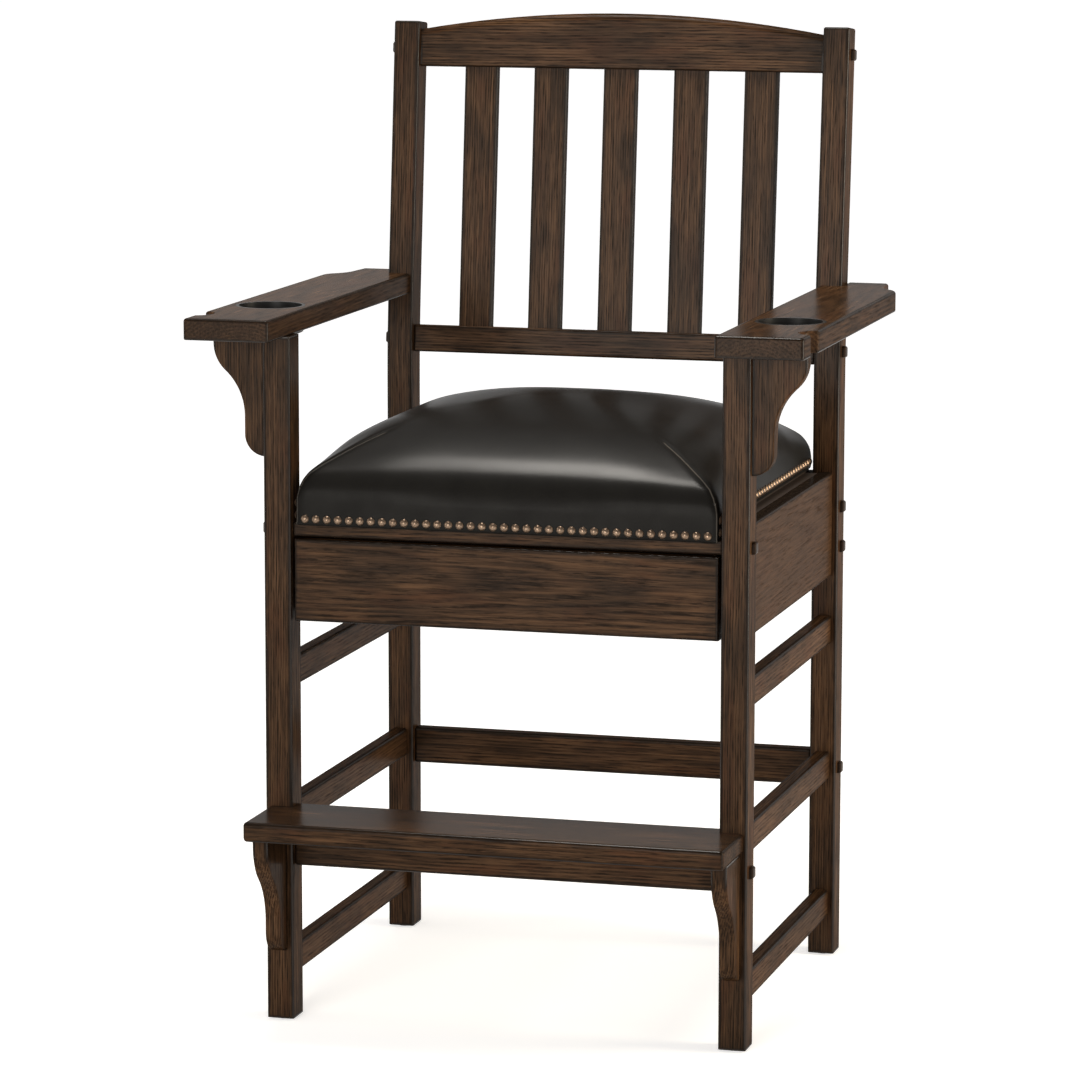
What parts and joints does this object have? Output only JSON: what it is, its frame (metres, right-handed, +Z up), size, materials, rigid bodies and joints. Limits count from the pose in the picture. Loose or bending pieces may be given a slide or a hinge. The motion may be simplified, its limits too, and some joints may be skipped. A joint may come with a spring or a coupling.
{
  "type": "bar height chair",
  "caption": "Bar height spectator chair in dark oak with a crowned leather seat, slatted back, wide arms with cup liners and cue notches, a drawer and a footboard.",
  "frame": {"origin": "middle of the bounding box's footprint, on the floor", "axes": "+Z up, +X to the viewer's right as seen from the front, and the chair faces -Y"},
  "size_m": [0.78, 0.7056, 1.2446],
  "materials": {
    "oak": "dark walnut stain, satin lacquer",
    "secondary_wood": "planed, unfinished",
    "plywood": "sanded, unfinished",
    "leather": "black, smooth, semi-gloss",
    "antique_brass": "antiqued, worn bright on the domes",
    "bolt_cap": "dark stain, satin lacquer",
    "cup_liner": "black, low gloss",
    "zinc_steel": "zinc plated",
    "dowel_wood": "beech, unfinished",
    "glide_plastic": "black, matte"
  },
  "bodies": {
    "frame": {"front_leg_left": "oak", "rear_post_left": "oak", "side_apron_left": "oak", "side_stretcher_upper_left": "oak", "side_stretcher_middle_left": "oak", "side_stretcher_lower_left": "oak", "arm_left": "oak", "arm_bracket_left": "oak", "foot_bracket_left": "oak", "seat_cleat_left": "secondary_wood", "corner_block_left": "secondary_wood", "drawer_runner_left": "secondary_wood", "drawer_stop_left": "secondary_wood", "seat_frame_side_left": "secondary_wood", "front_leg_right": "oak", "rear_post_right": "oak", "side_apron_right": "oak", "side_stretcher_upper_right": "oak", "side_stretcher_middle_right": "oak", "side_stretcher_lower_right": "oak", "arm_right": "oak", "arm_bracket_right": "oak", "foot_bracket_right": "oak", "seat_cleat_right": "secondary_wood", "corner_block_right": "secondary_wood", "drawer_runner_right": "secondary_wood", "drawer_stop_right": "secondary_wood", "seat_frame_side_right": "secondary_wood", "seat_front_rail": "oak", "rear_stretcher": "oak", "foot_rail": "oak", "footboard": "oak", "crest_rail": "oak", "lower_back_rail": "oak", "back_slat_1": "oak", "back_slat_2": "oak", "back_slat_3": "oak", "back_slat_4": "oak", "back_slat_5": "oak", "seat_rear_rail": "oak", "seat_frame_front": "secondary_wood", "seat_frame_rear": "secondary_wood", "seat_board": "plywood", "seat_cushion": "leather", "seat_nails": "antique_brass", "bolt_caps": "bolt_cap", "frame_bolts": "zinc_steel", "barrel_nuts": "zinc_steel", "screws": "zinc_steel", "dowels": "dowel_wood", "floor_glides": "glide_plastic"},
    "drawer": {"drawer_front": "oak", "drawer_side_left": "secondary_wood", "drawer_side_right": "secondary_wood", "drawer_back": "secondary_wood", "drawer_bottom": "plywood"},
    "cup_liner_left": {"cup_liner_left": "cup_liner"},
    "cup_liner_right": {"cup_liner_right": "cup_liner"}
  },
  "joints": [
    {"name": "drawer_slide", "type": "slide", "parent": "frame", "child": "drawer", "axis": [0, -1, 0], "range_m": [0, 0.2897]},
    {"name": "cup_lift_left", "type": "slide", "parent": "frame", "child": "cup_liner_left", "axis": [0, 0, 1], "range_m": [0, 0.09]},
    {"name": "cup_lift_right", "type": "slide", "parent": "frame", "child": "cup_liner_right", "axis": [0, 0, 1], "range_m": [0, 0.09]}
  ]
}
